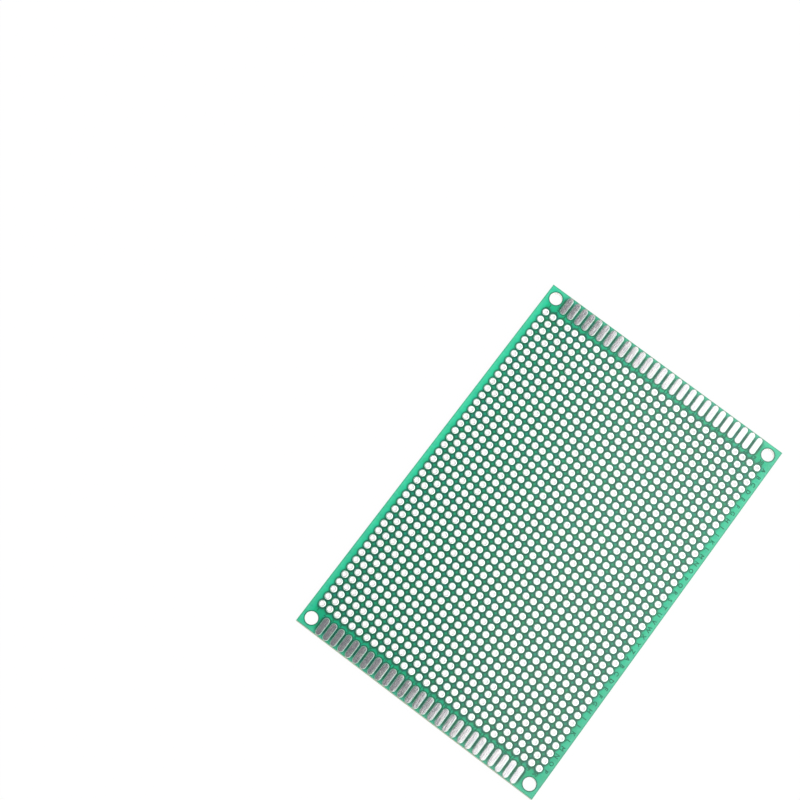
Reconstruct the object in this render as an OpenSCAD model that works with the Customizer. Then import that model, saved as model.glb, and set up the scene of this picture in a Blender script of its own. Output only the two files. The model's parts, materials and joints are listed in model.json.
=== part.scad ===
// Double-sided prototype board: a drilled glass-fibre laminate with a grid of
// plated-through holes, a row of finger pads along both short edges of each
// face, and a green solder mask on both faces.
// Frame: X across the board, Y along it, Z up. The origin is the middle of the
// board at the height of its lowest pads.

/* [Board] */
// Width of the board, across the columns of holes
board_w = 80; // [60:1:100]
// Length of the board, along the columns of holes
board_l = 120; // [90:1:140]
// Thickness of the bare laminate
laminate_t = 1.6; // [0.8:0.1:2.4]

/* [Hole grid] */
// Distance between the centres of neighbouring holes
pitch = 2.54; // [2.4:0.01:3]
// Finished diameter of a plated hole
hole_d = 1; // [0.8:0.05:1.2]
// Thickness of the plating on the wall of a hole
plating_t = 0.05; // [0.03:0.01:0.1]
// Diameter of the round pad at each end of a plated hole
pad_d = 1.92; // [1.6:0.01:2]
// Height of a pad at its rim
pad_rim_t = 0.03; // [0.02:0.01:0.06]
// Height that the solder finish rises over a pad's bevelled shoulders
pad_crown = 0.03; // [0.02:0.01:0.05]
// Width of the bevelled shoulders of a round pad
ring_bevel = 0.12; // [0.08:0.02:0.16]
// Least gap between the finger pads and the first row of round pads
row_gap = 1.2; // [0.5:0.1:2]

/* [Corner holes] */
// Diameter of the mounting hole in each corner
corner_hole_d = 3.7; // [2.5:0.1:4]
// Distance from a mounting hole's centre to both edges of its corner
corner_inset = 3; // [2.8:0.1:3.6]

/* [Finger pads] */
// Width of a finger pad
finger_w = 1.75; // [1.2:0.05:2]
// Length of a finger pad, over its round ends
finger_l = 5.4; // [3:0.1:6]
// Width of the bevelled shoulders of a finger pad
finger_bevel = 0.25; // [0.1:0.05:0.4]
// Gap between the short edge of the board and the finger pads
finger_edge_gap = 0.25; // [0.2:0.05:1]

/* [Solder mask] */
// Thickness of the mask on each face
mask_t = 0.03; // [0.02:0.01:0.05]
// Gap between the mask and the metal in its openings
mask_gap = 0.06; // [0.04:0.01:0.1]
// Gap between the mask and the cut edges, the corner holes' edges included
mask_edge_gap = 0.12; // [0.05:0.01:0.2]

/* [Hidden] */
// Facets of the round shapes
$fn = 32;

// Round pads and finger pads stand equally high
pad_t = pad_rim_t + pad_crown;
drill_d = hole_d + 2 * plating_t;
laminate_z = pad_t;
top_z = laminate_z + laminate_t;
board_h = top_z + pad_t;

// Mounting holes, and the line of the first column
corner_x = board_w / 2 - corner_inset;
corner_y = board_l / 2 - corner_inset;

// The columns fill the width between the lines of the corner holes, starting
// in line with the left ones
columns = floor(2 * corner_x / pitch) + 1;
column_xs = [for (c = [0:columns - 1]) c * pitch - corner_x];

// The rows fill the length between the two lines of finger pads, centred
finger_zone = finger_edge_gap + finger_l + row_gap;
rows = floor((board_l - 2 * finger_zone - pad_d) / pitch) + 1;
row_ys = [for (r = [0:rows - 1]) ((rows - 1) / 2 - r) * pitch];

// Finger pads stand halfway between columns, clear of the corner holes
finger_xs = [for (c = [1:columns - 3]) column_xs[c] + pitch / 2];
finger_y = board_l / 2 - finger_edge_gap - finger_l / 2;

function row_name(r) = str("plated_row_", r < 10 ? "0" : "", r);

ROW_NODES = [for (r = [1:rows]) row_name(r)];

laminate_colour = [0.78, 0.76, 0.52];
mask_colour = [0.2, 0.62, 0.4];
tin_colour = [0.86, 0.87, 0.88];

// Rectangle with square corners, inset from the board's edges on every side
module board_outline(inset = 0) {
    square([board_w - 2 * inset, board_l - 2 * inset], center = true);
}

// Round holes of one diameter over the whole grid
module grid_holes(d) {
    for (x = column_xs, y = row_ys) translate([x, y]) circle(d = d);
}

module corner_holes(d) {
    for (x = [-corner_x, corner_x], y = [-corner_y, corner_y])
        translate([x, y]) circle(d = d);
}

// Outline of one finger pad, grown by a gap all round
module finger_outline(gap = 0) {
    straight = finger_l - finger_w;
    square([finger_w + 2 * gap, straight], center = true);
    for (end = [-1, 1]) translate([0, end * straight / 2])
        circle(d = finger_w + 2 * gap);
}

module finger_openings() {
    for (x = finger_xs, end = [-1, 1])
        translate([x, end * finger_y]) finger_outline(mask_gap);
}

// Section of a pad of some width, from x = 0: straight rims, bevelled
// shoulders and a flat top
function pad_section(width, bevel) = [
    [0, 0], [width, 0], [width, pad_rim_t],
    [width - bevel, pad_t], [bevel, pad_t], [0, pad_rim_t]
];

// Half section of a plated hole, from its axis: a ring pad on each face and
// the barrel that joins them
function plated_hole_section() =
    let (hole_r = hole_d / 2, drill_r = drill_d / 2, pad_r = pad_d / 2)
    let (mouth_r = hole_r + ring_bevel, crown_r = pad_r - ring_bevel)
    [
        [mouth_r, 0], [crown_r, 0], [pad_r, pad_crown], [pad_r, laminate_z],
        [drill_r, laminate_z], [drill_r, top_z],
        [pad_r, top_z], [pad_r, board_h - pad_crown], [crown_r, board_h],
        [mouth_r, board_h], [hole_r, board_h - pad_crown], [hole_r, pad_crown]
    ];

module plated_hole() {
    rotate_extrude() polygon(plated_hole_section());
}

// One finger pad, lying on z = 0 with its flat top up
module finger_pad() {
    straight = finger_l - finger_w;
    finger_r = finger_w / 2;
    rotate([90, 0, 0]) linear_extrude(straight, center = true)
        translate([-finger_r, 0]) polygon(pad_section(finger_w, finger_bevel));
    for (end = [-1, 1]) translate([0, end * straight / 2, 0]) {
        cylinder(r = finger_r, h = pad_rim_t);
        translate([0, 0, pad_rim_t])
            cylinder(r1 = finger_r, r2 = finger_r - finger_bevel, h = pad_crown);
    }
}

module laminate() {
    color(laminate_colour) translate([0, 0, laminate_z])
        linear_extrude(laminate_t) difference() {
            board_outline();
            grid_holes(drill_d);
            corner_holes(corner_hole_d);
        }
}

// Mask film lying on z = 0, open round every pad and hole
module mask_film() {
    color(mask_colour) linear_extrude(mask_t) difference() {
        board_outline(mask_edge_gap);
        grid_holes(pad_d + 2 * mask_gap);
        corner_holes(corner_hole_d + 2 * mask_edge_gap);
        finger_openings();
    }
}

module mask_top() {
    translate([0, 0, top_z]) mask_film();
}

module mask_bottom() {
    translate([0, 0, laminate_z - mask_t]) mask_film();
}

// Line of finger pads along the edge at +Y (end = 1) or -Y (end = -1)
module finger_pads_top(end) {
    color(tin_colour) for (x = finger_xs)
        translate([x, end * finger_y, top_z]) finger_pad();
}

module finger_pads_bottom(end) {
    color(tin_colour) for (x = finger_xs)
        translate([x, end * finger_y, laminate_z]) mirror([0, 0, 1]) finger_pad();
}

// Row of plated holes, counted from 1 at the +Y end
module plated_row(r) {
    color(tin_colour) for (x = column_xs)
        translate([x, row_ys[r - 1], 0]) plated_hole();
}

laminate();
mask_top();
mask_bottom();
finger_pads_top(1);  // finger_pads_top_back
finger_pads_top(-1);  // finger_pads_top_front
finger_pads_bottom(1);  // finger_pads_bottom_back
finger_pads_bottom(-1);  // finger_pads_bottom_front
for (r = [1:rows]) plated_row(r);
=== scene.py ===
import json
import math

import bmesh
import bpy
from mathutils import Matrix, Vector


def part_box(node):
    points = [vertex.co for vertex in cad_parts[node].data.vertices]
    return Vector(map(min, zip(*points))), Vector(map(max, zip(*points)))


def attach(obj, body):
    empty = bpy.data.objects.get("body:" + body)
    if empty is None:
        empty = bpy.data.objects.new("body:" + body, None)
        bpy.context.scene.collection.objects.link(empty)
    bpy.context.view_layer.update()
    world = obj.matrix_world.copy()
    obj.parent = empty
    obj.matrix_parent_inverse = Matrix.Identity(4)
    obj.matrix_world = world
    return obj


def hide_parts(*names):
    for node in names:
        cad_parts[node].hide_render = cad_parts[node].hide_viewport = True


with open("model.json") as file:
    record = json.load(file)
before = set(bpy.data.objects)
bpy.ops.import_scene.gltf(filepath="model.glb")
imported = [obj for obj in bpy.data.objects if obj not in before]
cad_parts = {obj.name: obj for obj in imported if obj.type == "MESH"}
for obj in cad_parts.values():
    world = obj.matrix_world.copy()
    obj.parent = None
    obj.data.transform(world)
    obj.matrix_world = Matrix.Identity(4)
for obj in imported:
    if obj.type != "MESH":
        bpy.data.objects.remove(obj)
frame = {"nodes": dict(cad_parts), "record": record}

scene = bpy.context.scene
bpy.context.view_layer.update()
millimetre = 0.001


def measureBoard():
    # Sizes and places of the board, in metres, read from the nodes of the frame
    lamLow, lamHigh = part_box("laminate")
    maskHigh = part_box("mask_top")[1]
    rowNames = sorted(name for name in frame["nodes"] if name.startswith("plated_row_"))
    rowLow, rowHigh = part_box(rowNames[0])
    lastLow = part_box(rowNames[-1])[0]
    fingerLow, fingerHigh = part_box("finger_pads_top_back")
    pitch = (rowLow.y - lastLow.y) / (len(rowNames) - 1)
    padRadius = (rowHigh.y - rowLow.y) / 2
    fingerCount = round((fingerHigh.x - fingerLow.x) / pitch)
    fingerWidth = fingerHigh.x - fingerLow.x - (fingerCount - 1) * pitch
    return {
        "halfWidth": lamHigh.x,
        "halfLength": lamHigh.y,
        "foot": rowLow.z,
        "laminateLow": lamLow.z,
        "laminateHigh": lamHigh.z,
        "maskHigh": maskHigh.z,
        "top": rowHigh.z,
        "pitch": pitch,
        "rowNames": rowNames,
        "columns": round((rowHigh.x - rowLow.x) / pitch),
        "firstColumn": rowLow.x + padRadius,
        "firstRow": rowLow.y + padRadius,
        "padRadius": padRadius,
        "fingerCount": fingerCount,
        "fingerWidth": fingerWidth,
        "fingerLength": fingerHigh.y - fingerLow.y,
        "firstFinger": fingerLow.x + fingerWidth / 2,
        "fingerMiddle": (fingerLow.y + fingerHigh.y) / 2,
    }


board = measureBoard()
cornerMount = next(mount for mount in frame["record"]["mounts"] if mount["name"] == "corner_holes")
cornerHole = {                  # in mm, from the middle of the board
    "across": cornerMount["dims"]["spacing_x_mm"] / 2,
    "along": cornerMount["dims"]["spacing_y_mm"] / 2,
    "radius": cornerMount["dims"]["hole_r_mm"],
}
print("board:", board["columns"], "columns,", len(board["rowNames"]), "rows")
print("finger pads on each short edge of a face:", board["fingerCount"])


class NodeMaker:
    # Adds nodes to one tree: type, then settings, then the values or links of its sockets
    def __init__(self, tree):
        self.tree = tree

    def add(self, kind, settings=None, sockets=None, out=0):
        node = self.tree.nodes.new(kind)
        for name, value in (settings or {}).items():
            if name == "stops":
                self.setStops(node.color_ramp, value)
            else:
                setattr(node, name, value)
        for name, value in (sockets or {}).items():
            self.plug(value, node.inputs[name])
        return Wire(self, node.outputs[out]) if len(node.outputs) else node

    def plug(self, value, socket):
        if isinstance(value, Wire):
            self.tree.links.new(value.socket, socket)
        else:
            socket.default_value = value

    def setStops(self, ramp, stops):
        while len(ramp.elements) < len(stops):
            ramp.elements.new(1.0)
        for element, (place, tint) in zip(ramp.elements, stops):
            element.position = place
            element.color = tint

    def mixColour(self, factor, first, second):
        settings = {"data_type": "RGBA", "blend_type": "MIX", "clamp_factor": True}
        return self.add("ShaderNodeMix", settings, {0: factor, 6: first, 7: second}, out=2)


class Wire:
    # One socket's value, which takes part in sums with numbers and other sockets
    def __init__(self, maker, socket):
        self.maker = maker
        self.socket = socket

    def maths(self, operation, *values):
        return self.maker.add("ShaderNodeMath", {"operation": operation}, dict(enumerate(values)))

    def __add__(self, other):
        return self.maths("ADD", self, other)

    def __radd__(self, other):
        return self.maths("ADD", other, self)

    def __sub__(self, other):
        return self.maths("SUBTRACT", self, other)

    def __rsub__(self, other):
        return self.maths("SUBTRACT", other, self)

    def __mul__(self, other):
        return self.maths("MULTIPLY", self, other)

    def __rmul__(self, other):
        return self.maths("MULTIPLY", other, self)

    def __truediv__(self, other):
        return self.maths("DIVIDE", self, other)

    def __abs__(self):
        return self.maths("ABSOLUTE", self)

    def sine(self):
        return self.maths("SINE", self)

    def sign(self):
        return self.maths("SIGN", self)

    def least(self, other):
        return self.maths("MINIMUM", self, other)

    def most(self, other):
        return self.maths("MAXIMUM", self, other)

    def nearest(self, low, high):
        # The nearest whole number from low to high
        return self.maths("ROUND", self).most(low).least(high)

    def beside(self, other):
        # Length of the diagonal over two sides
        return self.maths("SQRT", self * self + other * other)

    def fade(self, low, high, start=0.0, end=1.0):
        # Goes smoothly from start to end as the value goes from low to high
        settings = {"interpolation_type": "SMOOTHSTEP", "clamp": True}
        values = {"Value": self, "From Min": low, "From Max": high, "To Min": start, "To Max": end}
        return self.maker.add("ShaderNodeMapRange", settings, values)


def colour(red, green, blue):
    # A screen colour, 0 to 255, as the linear colour that a socket takes
    def linear(value):
        share = value / 255
        return share / 12.92 if share <= 0.04045 else ((share + 0.055) / 1.055) ** 2.4
    return (linear(red), linear(green), linear(blue), 1.0)


def startMaterial(name):
    material = bpy.data.materials.new(name)
    material.use_nodes = True
    material.node_tree.nodes.clear()
    return material, NodeMaker(material.node_tree)


def finishMaterial(material, maker, shader):
    maker.add("ShaderNodeOutputMaterial", None, {"Surface": shader})
    return material


def finishSurface(material, maker, sockets):
    return finishMaterial(material, maker, maker.add("ShaderNodeBsdfPrincipled", None, sockets))


def boardCoordinates(maker):
    # Object coordinates in millimetres, as a vector and as x, y and z
    place = maker.add("ShaderNodeTexCoord", None, None, out="Object")
    enlarged = {0: place, "Scale": 1 / millimetre}
    scaled = maker.add("ShaderNodeVectorMath", {"operation": "SCALE"}, enlarged)
    parts = [maker.add("ShaderNodeSeparateXYZ", None, {0: scaled}, out=axis) for axis in "XYZ"]
    return scaled, *parts


def gridPlace(x, y):
    # Column and row of the nearest plated hole, and the distance from its centre
    pitch = board["pitch"] / millimetre
    firstX = board["firstColumn"] / millimetre
    firstY = board["firstRow"] / millimetre
    column = ((x - firstX) / pitch).nearest(0, board["columns"] - 1)
    row = ((firstY - y) / pitch).nearest(0, len(board["rowNames"]) - 1)
    centreX = column * pitch + firstX
    centreY = firstY - row * pitch
    return column, row, (x - centreX).beside(y - centreY)


def fingerPlace(x, y):
    # Number of the nearest finger pad, and the distance outside its outline
    pitch = board["pitch"] / millimetre
    firstX = board["firstFinger"] / millimetre
    halfWidth = board["fingerWidth"] / millimetre / 2
    halfSpine = board["fingerLength"] / millimetre / 2 - halfWidth
    number = ((x - firstX) / pitch).nearest(0, board["fingerCount"] - 1)
    across = x - (number * pitch + firstX)
    along = (abs(abs(y) - board["fingerMiddle"] / millimetre) - halfSpine).most(0)
    return number, across.beside(along) - halfWidth


def fromCutEdge(x, y):
    # Distance in from the nearest cut edge of the board
    edgeX = board["halfWidth"] / millimetre - abs(x)
    return edgeX.least(board["halfLength"] / millimetre - abs(y))


def fromCornerHole(x, y):
    # Distance outside the wall of the nearest corner hole
    across = abs(x) - cornerHole["across"]
    return across.beside(abs(y) - cornerHole["along"]) - cornerHole["radius"]


# The values of a noise between which a pattern goes from nothing to full
wideSpan = (0.25, 0.75)
usualSpan = (0.3, 0.7)
narrowSpan = (0.35, 0.65)


def noise(maker, place, scale, detail=2.0, roughness=0.5):
    sockets = {"Vector": place, "Scale": scale, "Detail": detail, "Roughness": roughness}
    return maker.add("ShaderNodeTexNoise", None, sockets)


def moved(maker, place, scale=(1.0, 1.0, 1.0), location=(0, 0, 0)):
    # The coordinates of a pattern, stretched and shifted
    return maker.add("ShaderNodeMapping", None, {"Vector": place, "Scale": scale, "Location": location})


def bumpFrom(maker, look, relief):
    sockets = {"Strength": look["bumpStrength"], "Distance": look["bumpHeight"], "Height": relief}
    return maker.add("ShaderNodeBump", None, sockets)


maskFinish = {
    # The colours from the metal outwards: painted shade beside the copper, and painted light where
    # light comes up through bare laminate
    "atMetal": colour(30, 98, 76),
    "nearMetal": colour(10, 76, 58),
    "betweenPads": colour(0, 158, 112),
    "strip": colour(4, 166, 118),
    "backlitGround": colour(10, 186, 138),
    "cutEdge": colour(72, 194, 154),
    "rim": colour(22, 104, 82),
    # a painted shade round the corner holes
    "holeShade": colour(24, 112, 88),
    "endStrip": colour(128, 152, 138),  # between a finger pad and the edge
    "pale": colour(24, 214, 160),
    "dark": colour(0, 50, 34),
    "blueCast": colour(0, 126, 126),
    "greenCast": colour(10, 158, 80),
    # Pairs of places, in mm, are where something starts and where it is full
    "metalReach": (0.32, 0.85, 1.4),    # from the metal to nearMetal, betweenPads and strip
    "inwardPlace": (-1.0, 0.3),         # past the finger pads' inner ends
    "inwardGain": 1.8,                  # how much sooner the film gets light there
    "openPlace": (0.5, 1.5),            # past the outer columns
    "openFromMetal": (0.0, 0.8),
    "glowPlace": (2.2, 0.0),            # from the cut edges
    "glowFromMetal": (-0.2, 0.8),
    "glowStrength": (0.35, 0.8),        # beside metal and away from it
    "rimPlace": (0.3, 0.18),            # from a cut edge, its dark line
    "rimStrength": 0.75,
    "holeShadePlace": (0.4, 0.2),         # from a corner hole's wall
    "endStripPlace": (0.28, 0.14),      # from a finger pad
    "endStripEdge": (0.3, 0.22),        # from a cut edge
    "weavePitch": 0.62,                 # mm, of the glass cloth that shows through
    "weaveShade": 0.04,
    "cloudScale": 0.45,
    "cloudShade": 0.07,
    "castScale": 0.6,
    "castOffset": (31, 17, 5),
    "castSpan": 0.22,                   # from the noise's middle to its full cast
    "greenCastStrength": 0.2,
    "blueCastStrength": 0.22,
    "frontStart": 20.0,                 # mm, y where the film starts to darken towards the front
    "frontShade": 0.15,                 # how much darker it gets by the front edge
    "sidePlace": (-20.0, 30.0),         # mm, x where the bare margins darken
    "sideShade": 0.12,                  # how much darker they get by the lettered edge
    "grainScale": 9.0,
    "weaveRelief": 0.35,
    "grainRelief": 0.5,
    "stepRelief": 1.5,                  # of the film's fall beside copper
    "stepWidth": 0.5,                   # mm
    "roughness": (0.11, 0.19),
    "ior": 1.62,
    "bumpStrength": 0.6,
    "bumpHeight": 0.000003,             # m
}


def filmGround(maker, x, y, clear, fromFinger):
    # Colour of the film from what lies under and beside it, and how bare the place is
    # Painted shade beside copper and painted light over bare laminate
    look = maskFinish
    near, between, reach = look["metalReach"]
    stops = [
        (0.0, look["atMetal"]),
        (near / reach, look["nearMetal"]),
        (between / reach, look["betweenPads"]),
        (1.0, look["strip"]),
    ]
    ground = maker.add("ShaderNodeValToRGB", {"stops": stops}, {"Fac": clear / reach})
    halfGrid = (board["columns"] - 1) * board["pitch"] / 2 / millimetre
    middleX = board["firstColumn"] / millimetre + halfGrid
    pastGrid = abs(x - middleX) - halfGrid
    bare = pastGrid.fade(*look["openPlace"]) * clear.fade(*look["openFromMetal"])
    # Painted light: the bare margins, where light comes up through the laminate
    ground = maker.mixColour(bare, ground, look["backlitGround"])
    # Light that enters the laminate at its cut edges comes up through the film there
    fromEdge = fromCutEdge(x, y)
    glow = fromEdge.fade(*look["glowPlace"]) * clear.fade(*look["glowFromMetal"], *look["glowStrength"])
    ground = maker.mixColour(glow, ground, look["cutEdge"])
    rim = fromEdge.fade(*look["rimPlace"])
    ground = maker.mixColour(rim * look["rimStrength"], ground, look["rim"])
    # Painted shade: a dark ring round each corner hole
    ground = maker.mixColour(fromCornerHole(x, y).fade(*look["holeShadePlace"]), ground, look["holeShade"])
    atEnd = fromFinger.fade(*look["endStripPlace"]) * fromEdge.fade(*look["endStripEdge"])
    return maker.mixColour(atEnd, ground, look["endStrip"]), bare


def makeMaskMaterial():
    look = maskFinish
    material, maker = startMaterial("solderMask")
    place, x, y = boardCoordinates(maker)[:3]
    fromCentre = gridPlace(x, y)[2]
    fromFinger = fingerPlace(x, y)[1]
    # Painted shade: the film is dark beside copper, less so past the finger pads' inner ends; painted
    # light:
    # it is lighter where only laminate lies under it
    fingerEnd = (board["fingerMiddle"] - board["fingerLength"] / 2) / millimetre
    inward = (fingerEnd - abs(y)).fade(*look["inwardPlace"], 1.0, look["inwardGain"])
    clear = (fromCentre - board["padRadius"] / millimetre).least(fromFinger * inward)
    ground, bare = filmGround(maker, x, y, clear, fromFinger)
    # Glass cloth, and cloudiness of the film
    turn = 2 * math.pi / look["weavePitch"]
    weave = (x * turn).sine() * (y * turn).sine()
    cloud = noise(maker, place, look["cloudScale"], 3.0)
    tinge = noise(maker, moved(maker, place, location=look["castOffset"]), look["castScale"])
    green = tinge.fade(0.5, 0.5 + look["castSpan"]) * look["greenCastStrength"]
    ground = maker.mixColour(green, ground, look["greenCast"])
    blue = tinge.fade(0.5, 0.5 - look["castSpan"]) * look["blueCastStrength"]
    ground = maker.mixColour(blue, ground, look["blueCast"])
    front = y.fade(look["frontStart"], -board["halfLength"] / millimetre, 0.0, look["frontShade"])
    side = bare * x.fade(*look["sidePlace"], 0.0, look["sideShade"])
    clouding = cloud.fade(*usualSpan, -look["cloudShade"], look["cloudShade"])
    shade = weave * look["weaveShade"] + clouding - front - side
    ground = maker.mixColour(shade.most(0), ground, look["pale"])
    ground = maker.mixColour((shade * -1).most(0), ground, look["dark"])
    grain = noise(maker, place, look["grainScale"])
    relief = weave * look["weaveRelief"] + grain * look["grainRelief"]
    relief = relief + clear.fade(0.0, look["stepWidth"]) * look["stepRelief"]
    sockets = {
        "Base Color": ground,
        "Roughness": grain.fade(*wideSpan, *look["roughness"]),
        "IOR": look["ior"],
        "Normal": bumpFrom(maker, look, relief),
    }
    return finishSurface(material, maker, sockets)


laminateFinish = {
    "face": colour(128, 196, 168),      # beside the film at a cut edge, seen from above
    "holeFaceShade": colour(30, 120, 94),    # the same at a corner hole, darkened as painted shade
    "padFace": colour(118, 182, 156),   # the same round the metal
    "endFace": colour(164, 170, 156),   # the same between a finger pad and the edge
    "arris": colour(112, 112, 88),      # along the top of a cut edge
    "resin": colour(164, 158, 124),
    "glass": colour(196, 190, 158),
    "hole": colour(250, 248, 242),      # the walls of the corner holes
    # Pairs of places, in mm, are where something starts and where it is full
    "padFacePlace": (0.14, 0.2),        # from a cut edge
    "holeFaceShadePlace": (0.3, 0.25),       # from a corner hole's wall
    "holePlace": (0.1, 0.05),
    "endFacePlace": (0.3, 0.2),         # from a finger pad
    "endFaceEdge": (0.35, 0.25),        # from a cut edge
    "cutDepth": (0.0, 0.04),            # below the face, where the cut edge's colours take over
    "arrisDepth": (0.4, 0.12),
    "plyPitch": 0.2,                    # mm between the plies in a cut edge
    "fibreStretch": (1.4, 1.4, 9.0),
    "fibreScale": 3.0,
    "fibreShare": 0.6,                  # of the fibres and the plies in the edge's pattern
    "plyShare": 0.2,
    "plyRelief": 0.3,
    "roughness": (0.55, 0.75),
    "holeGloss": 0.7,                   # how much smoother the corner holes' walls are
    "ior": 1.5,
    "bumpStrength": 0.5,
    "bumpHeight": 0.00002,              # m
}


def makeLaminateMaterial():
    look = laminateFinish
    material, maker = startMaterial("laminate")
    place, x, y, z = boardCoordinates(maker)
    # Only the cut edges show bare glass and resin; the faces are tinted by the film
    low = board["laminateLow"] / millimetre
    high = board["laminateHigh"] / millimetre
    depth = (z - low).least(high - z)
    fibres = noise(maker, moved(maker, place, look["fibreStretch"]), look["fibreScale"], 4.0, 0.6)
    ply = (z * (2 * math.pi / look["plyPitch"])).sine()
    plies = ply * look["plyShare"]
    streak = fibres.fade(*narrowSpan) * look["fibreShare"] + plies + look["plyShare"]
    edge = maker.mixColour(streak, look["resin"], look["glass"])
    edge = maker.mixColour(depth.fade(*look["arrisDepth"]), edge, look["arris"])
    fromHole = fromCornerHole(x, y)
    inHole = fromHole.fade(*look["holePlace"])
    edge = maker.mixColour(inHole, edge, look["hole"])
    fromEdge = fromCutEdge(x, y)
    face = maker.mixColour(fromEdge.fade(*look["padFacePlace"]), look["face"], look["padFace"])
    # Painted shade round the corner holes
    face = maker.mixColour(fromHole.fade(*look["holeFaceShadePlace"]), face, look["holeFaceShade"])
    fromFinger = fingerPlace(x, y)[1]
    atEnd = fromFinger.fade(*look["endFacePlace"]) * fromEdge.fade(*look["endFaceEdge"])
    face = maker.mixColour(atEnd, face, look["endFace"])
    roughness = fibres.fade(*usualSpan, *look["roughness"])
    sockets = {
        "Base Color": maker.mixColour(depth.fade(*look["cutDepth"]), face, edge),
        "Roughness": roughness * (1 - inHole * look["holeGloss"]),
        "IOR": look["ior"],
        "Normal": bumpFrom(maker, look, fibres + ply * look["plyRelief"]),
    }
    return finishSurface(material, maker, sockets)


eyeletFinish = {
    "bright": colour(250, 249, 248),
    "dull": colour(234, 228, 227),
    "rim": colour(192, 220, 206),       # painted reflection of the green film and painted shade on the pad's sloping edge
    "rimWidth": 0.15,                   # mm
    "blotchScale": 1.9,
    "blotchSpan": (0.42, 0.7),
    "blotchShare": 0.6,                 # how far a blotch is dulled
    "chanceShare": 0.35,                # how far a whole pad can be dulled
    "ringRoughness": (0.24, 0.36),
    "barrelRoughness": 0.1,
    "barrelDepth": (0.04, 0.12),        # mm in from either face, to where the barrel is smooth
    "reliefScale": 3.5,
    "bumpStrength": 0.7,
    "bumpHeight": 0.000006,             # m
}


def makeEyeletMaterial():
    look = eyeletFinish
    material, maker = startMaterial("tinnedHoles")
    place, x, y, z = boardCoordinates(maker)
    column, row, fromCentre = gridPlace(x, y)
    cell = maker.add("ShaderNodeCombineXYZ", None, {"X": column, "Y": row})
    chance = maker.add("ShaderNodeTexWhiteNoise", {"noise_dimensions": "2D"}, {"Vector": cell})
    blotch = noise(maker, place, look["blotchScale"], 3.0, 0.6)
    dulled = blotch.fade(*look["blotchSpan"]) * look["blotchShare"] + chance * look["chanceShare"]
    tint = maker.mixColour(dulled, look["bright"], look["dull"])
    inside = board["padRadius"] / millimetre - fromCentre
    # Painted reflection of the green film and painted shade along the pad's sloping edge
    tint = maker.mixColour(inside.fade(look["rimWidth"], 0.0), tint, look["rim"])
    relief = noise(maker, place, look["reliefScale"], 3.0, 0.55)
    # The plating inside the holes is smoother than the solder on the rings
    depth = (z - board["foot"] / millimetre).least(board["top"] / millimetre - z)
    onRing = blotch.fade(*usualSpan, *look["ringRoughness"])
    sockets = {
        "Base Color": tint,
        "Metallic": 1.0,
        "Roughness": depth.fade(*look["barrelDepth"], onRing, look["barrelRoughness"]),
        "Normal": bumpFrom(maker, look, relief),
    }
    return finishSurface(material, maker, sockets)


fingerFinish = {
    "bright": colour(226, 222, 220),
    "dull": colour(206, 203, 207),
    # The rims are a painted reflection of the green film beside the pad, the front end a painted
    # highlight
    "rim": colour(166, 198, 184),
    "endRim": colour(178, 192, 182),    # beside the edge of the board
    "frontHighlight": colour(200, 216, 208),  # at each pad's front end, where the solder is thickest: a painted highlight
    # Pairs of places, in mm, are where something starts and where it is full
    "rimPlace": (0.16, 0.05),           # in from the outline
    "endRimPlace": (0.5, 0.2),          # from the pad's outer end
    "frontHighlightPlace": (0.8, 0.3),        # from its front end
    "frontHighlightStrength": 0.8,
    "padShift": 3.7,                    # how far the pattern moves on from pad to pad
    "streakStretch": 0.22,
    "streakScale": 1.8,
    "streakSpan": (0.36, 0.62),
    "streakShare": 0.8,
    "streakRelief": 0.9,
    "pitScale": 2.6,
    "pitShare": 0.2,
    "pitRelief": 0.15,
    "roughness": (0.1, 0.16),
    "bumpStrength": 0.8,
    "bumpHeight": 0.000015,             # m
}


def makeFingerMaterial():
    look = fingerFinish
    material, maker = startMaterial("tinnedFingers")
    place, x, y, z = boardCoordinates(maker)
    number, outside = fingerPlace(x, y)
    along = {"X": x + number * look["padShift"], "Y": y * look["streakStretch"], "Z": z}
    shifted = maker.add("ShaderNodeCombineXYZ", None, along)
    streaks = noise(maker, shifted, look["streakScale"], 3.0, 0.55)
    pits = noise(maker, place, look["pitScale"], 3.0, 0.6)
    wetness = streaks.fade(*look["streakSpan"]) * look["streakShare"]
    wetness = wetness + pits.fade(*narrowSpan) * look["pitShare"]
    inner = maker.mixColour(wetness, look["dull"], look["bright"])
    middle = board["fingerMiddle"] / millimetre
    halfLength = board["fingerLength"] / millimetre / 2
    fromOuterEnd = middle + halfLength - abs(y)
    fromFrontEnd = y - y.sign() * middle + halfLength
    # The outline is a painted reflection of the green film beside the pad, and the front end a painted
    # highlight
    rimTint = maker.mixColour(fromOuterEnd.fade(*look["endRimPlace"]), look["rim"], look["endRim"])
    atFront = fromFrontEnd.fade(*look["frontHighlightPlace"]) * look["frontHighlightStrength"]
    rimTint = maker.mixColour(atFront, rimTint, look["frontHighlight"])
    rim = (outside * -1).fade(*look["rimPlace"])
    sockets = {
        "Base Color": maker.mixColour(rim, inner, rimTint),
        "Metallic": 1.0,
        "Roughness": pits.fade(*usualSpan, *look["roughness"]),
        "Normal": bumpFrom(maker, look, streaks * look["streakRelief"] + pits * look["pitRelief"]),
    }
    return finishSurface(material, maker, sockets)


inkFinish = {
    "full": colour(0, 92, 66),
    "worn": colour(4, 116, 86),
    "wearScale": 3.0,
    "wearSpan": (0.35, 0.7),
    "roughness": (0.18, 0.28),
    "ior": 1.5,
}


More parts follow.
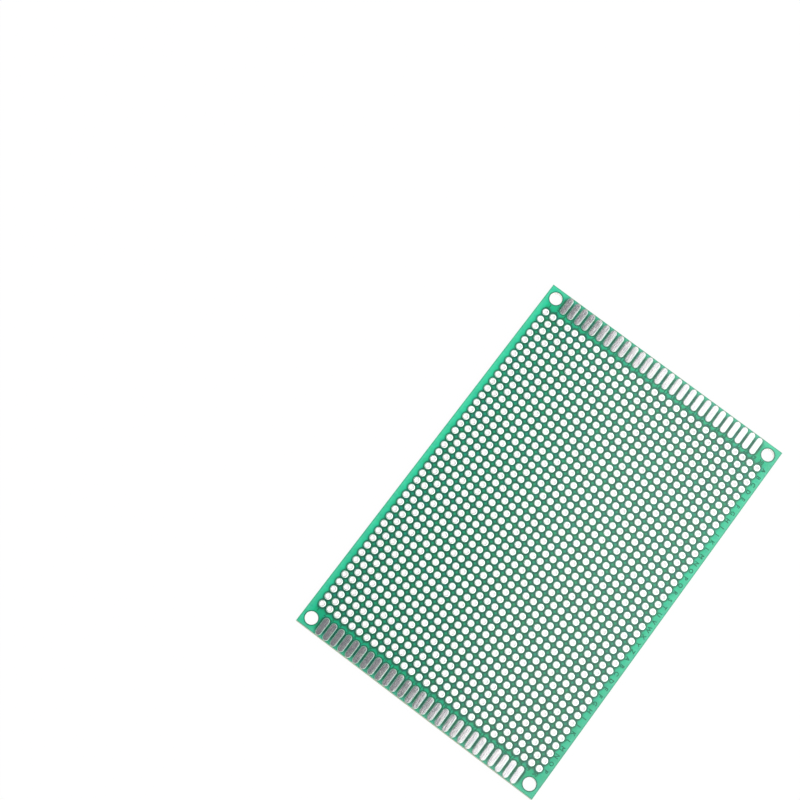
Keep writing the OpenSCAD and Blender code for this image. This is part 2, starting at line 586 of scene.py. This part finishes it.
def makeInkMaterial():
    look = inkFinish
    material, maker = startMaterial("indexInk")
    place = boardCoordinates(maker)[0]
    wear = noise(maker, place, look["wearScale"], 3.0, 0.6)
    sockets = {
        "Base Color": maker.mixColour(wear.fade(*look["wearSpan"]), look["full"], look["worn"]),
        "Roughness": wear.fade(*usualSpan, *look["roughness"]),
        "IOR": look["ior"],
    }
    return finishSurface(material, maker, sockets)


def startTree(name, inputs):
    # A Geometry Nodes tree with named inputs, given as (name, socket type, default)
    tree = bpy.data.node_groups.new(name, "GeometryNodeTree")
    tree.is_modifier = True
    tree.interface.new_socket("Geometry", in_out="OUTPUT", socket_type="NodeSocketGeometry")
    for label, kind, default in inputs:
        socket = tree.interface.new_socket(label, in_out="INPUT", socket_type=kind)
        if default is not None:
            socket.default_value = default
    maker = NodeMaker(tree)
    start = tree.nodes.new("NodeGroupInput")
    given = {label: Wire(maker, start.outputs[label]) for label, kind, default in inputs}
    return tree, maker, given


def endTree(maker, geometry, material):
    solid = maker.add("GeometryNodeRealizeInstances", None, {"Geometry": geometry})
    painted = maker.add("GeometryNodeSetMaterial", None, {"Geometry": solid, "Material": material})
    maker.add("NodeGroupOutput", None, {"Geometry": painted})


def runTree(name, tree, values):
    # Builds the tree's result as a plain mesh object
    holder = bpy.data.objects.new(name, bpy.data.meshes.new(name))
    scene.collection.objects.link(holder)
    modifier = holder.modifiers.new("build", "NODES")
    modifier.node_group = tree
    sockets = [item for item in tree.interface.items_tree if item.item_type == "SOCKET"]
    for item in sockets:
        if item.in_out == "INPUT":
            modifier[item.identifier] = values[item.name]
    graph = bpy.context.evaluated_depsgraph_get()
    mesh = bpy.data.meshes.new_from_object(holder.evaluated_get(graph))
    holder.modifiers.remove(modifier)
    holder.data = mesh
    mesh.name = name
    return holder


def sinkSolder(maker, geometry, seed, scale, depth):
    # Moves what stands above either face of the laminate towards it, unevenly, by depth at most
    place = maker.add("GeometryNodeInputPosition")
    sockets = {"Vector": place, "W": seed, "Scale": scale, "Detail": 1.0}
    wave = maker.add("ShaderNodeTexNoise", {"noise_dimensions": "4D"}, sockets)
    sink = wave.fade(*wideSpan) * depth
    middle = (board["laminateLow"] + board["laminateHigh"]) / 2
    height = maker.add("ShaderNodeSeparateXYZ", None, {0: place}, out="Z") - middle
    proud = abs(height) - (board["laminateHigh"] - middle)
    shoulder = board["top"] - board["laminateHigh"]
    share = proud.fade(0.0, shoulder)
    offset = maker.add("ShaderNodeCombineXYZ", None, {"Z": height.sign() * share * sink * -1})
    return maker.add("GeometryNodeSetPosition", None, {"Geometry": geometry, "Offset": offset})


def closeMesh(shape, name):
    # Turns the form into an object, with its faces outwards and smooth
    bmesh.ops.remove_doubles(shape, verts=shape.verts, dist=1e-8)
    bmesh.ops.recalc_face_normals(shape, faces=shape.faces)
    for face in shape.faces:
        face.smooth = True
    mesh = bpy.data.meshes.new(name)
    shape.to_mesh(mesh)
    shape.free()
    return bpy.data.objects.new(name, mesh)


eyelet = {
    "holeRadius": 0.5 * millimetre,
    "wall": 0.05 * millimetre,
    # Inset from the pad's edge and depth below full height of each ring of the solder, in mm
    "rings": [(0.03, 0.022), (0.08, 0.004), (0.36, 0.0)],
    "throatDrop": 0.034 * millimetre,   # how far the mouth of the hole lies below the crown
    "segments": 12,
    "shrink": 0.985,                    # smallest of the random sizes
    "unevenness": 0.012 * millimetre,
    "unevenScale": 900.0,
    "seed": 4,
}


def makeEyelet():
    # One plated hole round the origin: a domed ring on each face and the barrel between them
    size = eyelet
    outer = board["padRadius"]
    high = board["top"]
    lamTop = board["laminateHigh"]
    upper = [(outer, lamTop)]
    upper += [(outer - inset * millimetre, high - drop * millimetre) for inset, drop in size["rings"]]
    upper.append((size["holeRadius"], high - size["throatDrop"]))
    middle = (board["laminateLow"] + lamTop) / 2
    lower = [(radius, 2 * middle - height) for radius, height in reversed(upper)]
    barrelRadius = size["holeRadius"] + size["wall"]
    barrel = [(barrelRadius, board["laminateLow"]), (barrelRadius, lamTop)]
    section = upper + lower + barrel
    sharpHeights = (lamTop, board["laminateLow"], upper[-1][1], lower[0][1])
    shape = bmesh.new()
    rings = []
    for step in range(size["segments"]):
        angle = 2 * math.pi * step / size["segments"]
        across, along = math.cos(angle), math.sin(angle)
        rings.append([shape.verts.new((across * r, along * r, height)) for r, height in section])
    for step, ring in enumerate(rings):
        following = rings[(step + 1) % len(rings)]
        for place in range(len(section)):
            nextPlace = (place + 1) % len(section)
            shape.faces.new((ring[place], following[place], following[nextPlace], ring[nextPlace]))
        for place, (radius, height) in enumerate(section):
            if height in sharpHeights:
                shape.edges.get((ring[place], following[place])).smooth = False
    return closeMesh(shape, "eyelet")


def makeHoleTree():
    inputs = [
        ("Eyelet", "NodeSocketObject", None),
        ("Pitch", "NodeSocketFloat", board["pitch"]),
        ("Columns", "NodeSocketInt", board["columns"]),
        ("Rows", "NodeSocketInt", len(board["rowNames"])),
        ("Corner", "NodeSocketVector", (0, 0, 0)),
        ("Shrink", "NodeSocketFloat", eyelet["shrink"]),
        ("Unevenness", "NodeSocketFloat", eyelet["unevenness"]),
        ("Seed", "NodeSocketInt", eyelet["seed"]),
        ("Material", "NodeSocketMaterial", None),
    ]
    tree, maker, given = startTree("platedHoleGrid", inputs)
    width = (given["Columns"] - 1) * given["Pitch"]
    length = (given["Rows"] - 1) * given["Pitch"]
    sizes = {"Size X": width, "Size Y": length}
    counts = {"Vertices X": given["Columns"], "Vertices Y": given["Rows"]}
    grid = maker.add("GeometryNodeMeshGrid", None, {**sizes, **counts})
    centre = maker.add("ShaderNodeCombineXYZ", None, {"X": width / 2, "Y": length / -2})
    shift = maker.add("ShaderNodeVectorMath", {"operation": "ADD"}, {0: centre, 1: given["Corner"]})
    placed = maker.add("GeometryNodeTransform", None, {"Geometry": grid, "Translation": shift})
    model = maker.add("GeometryNodeObjectInfo", None, {"Object": given["Eyelet"]}, out="Geometry")
    circle = {2: 0.0, 3: 2 * math.pi, "Seed": given["Seed"]}
    turn = maker.add("FunctionNodeRandomValue", {"data_type": "FLOAT"}, circle, out=1)
    angles = maker.add("ShaderNodeCombineXYZ", None, {"Z": turn})
    rotation = maker.add("FunctionNodeEulerToRotation", None, {0: angles})
    spread = {2: given["Shrink"], 3: 1.0, "Seed": given["Seed"] + 1}
    size = maker.add("FunctionNodeRandomValue", {"data_type": "FLOAT"}, spread, out=1)
    scale = maker.add("ShaderNodeCombineXYZ", None, {"X": size, "Y": size, "Z": 1.0})
    sockets = {"Points": placed, "Instance": model, "Rotation": rotation, "Scale": scale}
    copies = maker.add("GeometryNodeInstanceOnPoints", None, sockets)
    solid = maker.add("GeometryNodeRealizeInstances", None, {"Geometry": copies})
    uneven = sinkSolder(maker, solid, given["Seed"], eyelet["unevenScale"], given["Unevenness"])
    endTree(maker, uneven, given["Material"])
    return tree


def makePlatedHoles(material):
    # The rows of plated holes, in two halves of the board
    model = makeEyelet()
    tree = makeHoleTree()
    names = board["rowNames"]
    half = len(names) // 2
    for label, first, last in (("platedHolesBack", 0, half), ("platedHolesFront", half, len(names))):
        corner = (board["firstColumn"], board["firstRow"] - first * board["pitch"], 0.0)
        values = {
            "Eyelet": model,
            "Pitch": board["pitch"],
            "Columns": board["columns"],
            "Rows": last - first,
            "Corner": corner,
            "Shrink": eyelet["shrink"],
            "Unevenness": eyelet["unevenness"],
            "Seed": eyelet["seed"] + first,
            "Material": material,
        }
        piece = runTree(label, tree, values)
        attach(piece, "root")
        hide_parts(*names[first:last])
        print(label, len(piece.data.polygons), "faces")
    bpy.data.objects.remove(model)


finger = {
    "arcSteps": 6,              # faces round each end
    "sideSteps": 7,             # faces along each side
    # Inset from the outline and depth below full height of each ring, in mm
    "rings": [(0.0, 0.03), (0.03, 0.0095), (0.07, 0.0036), (0.1, 0.0028), (0.4, 0.0008)],
    "unevenness": 0.006 * millimetre,
    "unevenScale": 620.0,
    "seed": 11,
}


def fingerSpine():
    # Points of the middle line and the outward directions from them, once round the pad
    halfSpine = (board["fingerLength"] - board["fingerWidth"]) / 2
    arc, side = finger["arcSteps"], finger["sideSteps"]
    turns = [(0, step) for step in range(arc + 1)] + [(1, step) for step in range(arc + 1)]
    points = []
    for end, step in turns:
        angle = math.pi * (end + step / arc)
        middle = Vector((0, halfSpine if end == 0 else -halfSpine, 0))
        points.append((middle, Vector((math.cos(angle), math.sin(angle), 0))))
        if step == arc:
            sign = 1 if end == 0 else -1
            for part in range(1, side):
                along = sign * halfSpine * (1 - 2 * part / side)
                points.append((Vector((0, along, 0)), Vector((-sign, 0, 0))))
    return points


def makeFinger():
    # One finger pad round the origin: a shallow crowned form, its closed underside at z = 0
    halfWidth = board["fingerWidth"] / 2
    height = board["top"] - board["laminateHigh"]
    levels = [(halfWidth, height), (0.0, height)]
    levels += [(inset * millimetre, drop * millimetre) for inset, drop in finger["rings"]]
    levels.append((halfWidth, 0.0))
    spine = fingerSpine()
    shape = bmesh.new()
    loops = []
    for inset, drop in levels:
        rise = Vector((0, 0, height - drop))
        reach = halfWidth - inset
        loops.append([shape.verts.new(middle + out * reach + rise) for middle, out in spine])
    for low, high in zip(loops, loops[1:]):
        for place in range(len(spine)):
            following = (place + 1) % len(spine)
            shape.faces.new((low[place], low[following], high[following], high[place]))
    for place in range(len(spine)):
        shape.edges.get((loops[1][place], loops[1][(place + 1) % len(spine)])).smooth = False
    return closeMesh(shape, "finger")


def makeFingerTree():
    inputs = [
        ("Pad", "NodeSocketObject", None),
        ("Pitch", "NodeSocketFloat", board["pitch"]),
        ("Count", "NodeSocketInt", board["fingerCount"]),
        ("Start", "NodeSocketVector", (0, 0, 0)),
        ("Turn", "NodeSocketVector", (0, 0, 0)),
        ("Unevenness", "NodeSocketFloat", finger["unevenness"]),
        ("Seed", "NodeSocketInt", finger["seed"]),
        ("Material", "NodeSocketMaterial", None),
    ]
    tree, maker, given = startTree("fingerPadLine", inputs)
    step = maker.add("ShaderNodeCombineXYZ", None, {"X": given["Pitch"]})
    sockets = {"Count": given["Count"], "Start Location": given["Start"], "Offset": step}
    line = maker.add("GeometryNodeMeshLine", None, sockets)
    model = maker.add("GeometryNodeObjectInfo", None, {"Object": given["Pad"]}, out="Geometry")
    rotation = maker.add("FunctionNodeEulerToRotation", None, {0: given["Turn"]})
    sockets = {"Points": line, "Instance": model, "Rotation": rotation}
    copies = maker.add("GeometryNodeInstanceOnPoints", None, sockets)
    solid = maker.add("GeometryNodeRealizeInstances", None, {"Geometry": copies})
    uneven = sinkSolder(maker, solid, given["Seed"], finger["unevenScale"], given["Unevenness"])
    endTree(maker, uneven, given["Material"])
    return tree


def makeFingerPads(material):
    # A line of finger pads along both short edges of each face
    model = makeFinger()
    tree = makeFingerTree()
    lines = [
        ("fingersTopBack", "finger_pads_top_back", 1, True),
        ("fingersTopFront", "finger_pads_top_front", -1, True),
        ("fingersBottomBack", "finger_pads_bottom_back", 1, False),
        ("fingersBottomFront", "finger_pads_bottom_front", -1, False),
    ]
    for number, (label, node, end, onTop) in enumerate(lines):
        level = board["laminateHigh"] if onTop else board["laminateLow"]
        values = {
            "Pad": model,
            "Pitch": board["pitch"],
            "Count": board["fingerCount"],
            "Start": (board["firstFinger"], end * board["fingerMiddle"], level),
            "Turn": (0.0, 0.0 if onTop else math.pi, 0.0),
            "Unevenness": finger["unevenness"],
            "Seed": finger["seed"] + number,
            "Material": material,
        }
        piece = runTree(label, tree, values)
        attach(piece, "root")
        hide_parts(node)
        print(label, len(piece.data.polygons), "faces")
    bpy.data.objects.remove(model)


indexPrint = {
    "letterHeight": 1.2 * millimetre,
    "numberHeight": 1.08 * millimetre,
    "capShare": 0.7,                    # height of a capital as a share of the text size
    "inkHeight": 0.012 * millimetre,
    "boldness": 0.045 * millimetre,     # how far the strokes grow on each side
    "letterInset": 1.35 * millimetre,   # from the long edge to the middle of the letters
    "letterShift": 0.45 * millimetre,   # from a row's line to the middle of its letter
    "numberPlaces": (54.15 * millimetre, -53.9 * millimetre),   # y of the middles of the numbers
    "curveSteps": 2,
}


def glyphMesh(label, height):
    # The label as a flat closed mesh, centred on the origin
    size = indexPrint
    curve = bpy.data.curves.new("glyph", "FONT")
    curve.body = label
    curve.size = height / size["capShare"]
    curve.align_x = "CENTER"
    curve.resolution_u = size["curveSteps"]
    curve.offset = size["boldness"]
    curve.extrude = size["inkHeight"] / 2
    holder = bpy.data.objects.new("glyph", curve)
    scene.collection.objects.link(holder)
    graph = bpy.context.evaluated_depsgraph_get()
    mesh = bpy.data.meshes.new_from_object(holder.evaluated_get(graph))
    bpy.data.objects.remove(holder)
    mesh.transform(Matrix.Translation((0, -height / 2, 0)))
    return mesh


def makeIndexPrint(material):
    # Row letters along one long edge, and column numbers along both short edges
    size = indexPrint
    level = board["maskHigh"] + size["inkHeight"] / 2
    labels = []
    letterX = board["halfWidth"] - size["letterInset"]
    for row in range(len(board["rowNames"])):
        place = (letterX, board["firstRow"] - row * board["pitch"] + size["letterShift"], level)
        labels.append((chr(ord("A") + row % 26), size["letterHeight"], place, -math.pi / 2))
    for column in range(board["columns"]):
        columnX = board["firstColumn"] + column * board["pitch"]
        for numberY in size["numberPlaces"]:
            labels.append((str(column + 1), size["numberHeight"], (columnX, numberY, level), 0.0))
    shape = bmesh.new()
    for label, height, place, turn in labels:
        mesh = glyphMesh(label, height)
        mesh.transform(Matrix.Translation(place) @ Matrix.Rotation(turn, 4, "Z"))
        shape.from_mesh(mesh)
        bpy.data.meshes.remove(mesh)
    piece = closeMesh(shape, "indexPrint")
    for face in piece.data.polygons:
        face.use_smooth = False
    piece.data.materials.clear()
    piece.data.materials.append(material)
    scene.collection.objects.link(piece)
    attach(piece, "root")
    print("indexPrint", len(labels), "labels,", len(piece.data.polygons), "faces")


def paintNode(name, material):
    # Gives a node of the frame its finish
    node = frame["nodes"][name]
    node.data.materials.clear()
    node.data.materials.append(material)


cameraView = {
    "place": (-0.005246, -0.116012, 0.579832),
    "turn": (12.4057, -3.3903, 36.9264),    # degrees
    "lens": 95.48,                          # mm
    "sensor": 36.0,                         # mm
    "clipStart": 0.01,
}


def makeCamera():
    lens = bpy.data.cameras.new("camera")
    lens.lens = cameraView["lens"]
    lens.sensor_width = cameraView["sensor"]
    lens.clip_start = cameraView["clipStart"]
    camera = bpy.data.objects.new("camera", lens)
    camera.location = cameraView["place"]
    camera.rotation_euler = [math.radians(angle) for angle in cameraView["turn"]]
    scene.collection.objects.link(camera)
    scene.camera = camera


studio = {
    "softboxSide": 3.0,         # m
    "softboxHeight": 2.0,
    "softboxEdge": ((-0.05, 0.656), (0.066, 0.147)),    # two points of its near edge
    "softboxLevel": 1.25,       # its brightness, where 1 is white
    "wallLevel": 1.12,
    "wallSlant": 0.25,          # how much brighter the walls are at +X, and darker at -X
    "patchColour": (0.255, 0.27, 0.285, 1.0),   # of the dark patch overhead
    "patchDirection": (-0.16, 0.1, 1.0),
    "patchAngles": (14.0, 25.0),    # degrees from its middle, where it starts and stops to fade
    "floorReach": 12.0,         # m to each side
    "floorDrop": 0.05 * millimetre,     # how far the floor lies below the lowest pads
    "floorColour": colour(235, 235, 235),
    "floorShadow": 0.04,        # share of the floor's colour that the light gives
}


def makeSoftbox():
    size = studio["softboxSide"]
    start, end = (Vector((x, y, 0)) for x, y in studio["softboxEdge"])
    along = (start - end).normalized()
    across = along.cross(Vector((0, 0, 1))).normalized()
    lamp = bpy.data.lights.new("softbox", "AREA")
    lamp.shape = "SQUARE"
    lamp.size = size
    lamp.energy = studio["softboxLevel"] * math.pi * size * size
    softbox = bpy.data.objects.new("softbox", lamp)
    softbox.location = (start + end) / 2 + across * size / 2 + Vector((0, 0, studio["softboxHeight"]))
    softbox.rotation_euler = (0, 0, math.atan2(across.y, across.x))
    softbox.visible_camera = False
    scene.collection.objects.link(softbox)


def makeWorld():
    # Pale walls and ceiling, with a dark patch overhead where the camera stands
    world = bpy.data.worlds.new("studio")
    world.use_nodes = True
    world.node_tree.nodes.clear()
    scene.world = world
    maker = NodeMaker(world.node_tree)
    direction = maker.add("ShaderNodeTexCoord", None, None, out="Generated")
    middle = Vector(studio["patchDirection"]).normalized()
    product = {"operation": "DOT_PRODUCT"}
    aligned = maker.add("ShaderNodeVectorMath", product, {0: direction, 1: middle}, out="Value")
    inner, outer = (math.cos(math.radians(angle)) for angle in studio["patchAngles"])
    slant = maker.add("ShaderNodeSeparateXYZ", None, {0: direction}, out="X") * studio["wallSlant"]
    level = slant + studio["wallLevel"]
    walls = maker.add("ShaderNodeCombineColor", None, {"Red": level, "Green": level, "Blue": level})
    tint = maker.mixColour(aligned.fade(outer, inner), walls, studio["patchColour"])
    sky = maker.add("ShaderNodeBackground", None, {"Color": tint, "Strength": 1.0})
    maker.add("ShaderNodeOutputWorld", None, {"Surface": sky})


def makeFloor():
    # A pale floor that looks white to the camera and in the metal, and keeps a faint shadow
    material, maker = startMaterial("floor")
    paths = ["Is Camera Ray", "Is Glossy Ray", "Is Transmission Ray"]
    camera, glossy, through = (maker.add("ShaderNodeLightPath", None, None, out=name) for name in paths)
    seen = camera.most(glossy).most(through)
    plain = maker.add("ShaderNodeBsdfDiffuse", None, {"Color": studio["floorColour"]})
    glow = maker.add("ShaderNodeEmission", None, {"Color": (1, 1, 1, 1), "Strength": 1.0})
    bright = maker.add("ShaderNodeMixShader", None, {0: studio["floorShadow"], 1: glow, 2: plain})
    mixed = maker.add("ShaderNodeMixShader", None, {0: seen, 1: plain, 2: bright})
    finishMaterial(material, maker, mixed)
    shape = bmesh.new()
    bmesh.ops.create_grid(shape, x_segments=1, y_segments=1, size=studio["floorReach"])
    mesh = bpy.data.meshes.new("floor")
    shape.to_mesh(mesh)
    shape.free()
    mesh.transform(Matrix.Translation((0, 0, board["foot"] - studio["floorDrop"])))
    mesh.materials.append(material)
    floor = bpy.data.objects.new("floor", mesh)
    scene.collection.objects.link(floor)


makeCamera()
makeSoftbox()
makeWorld()
makeFloor()
print("camera, lights and floor are set")

maskMaterial = makeMaskMaterial()
paintNode("mask_top", maskMaterial)
paintNode("mask_bottom", maskMaterial)
paintNode("laminate", makeLaminateMaterial())
print("laminate and mask are painted")

makePlatedHoles(makeEyeletMaterial())
makeFingerPads(makeFingerMaterial())
makeIndexPrint(makeInkMaterial())

scene.view_settings.view_transform = "Standard"
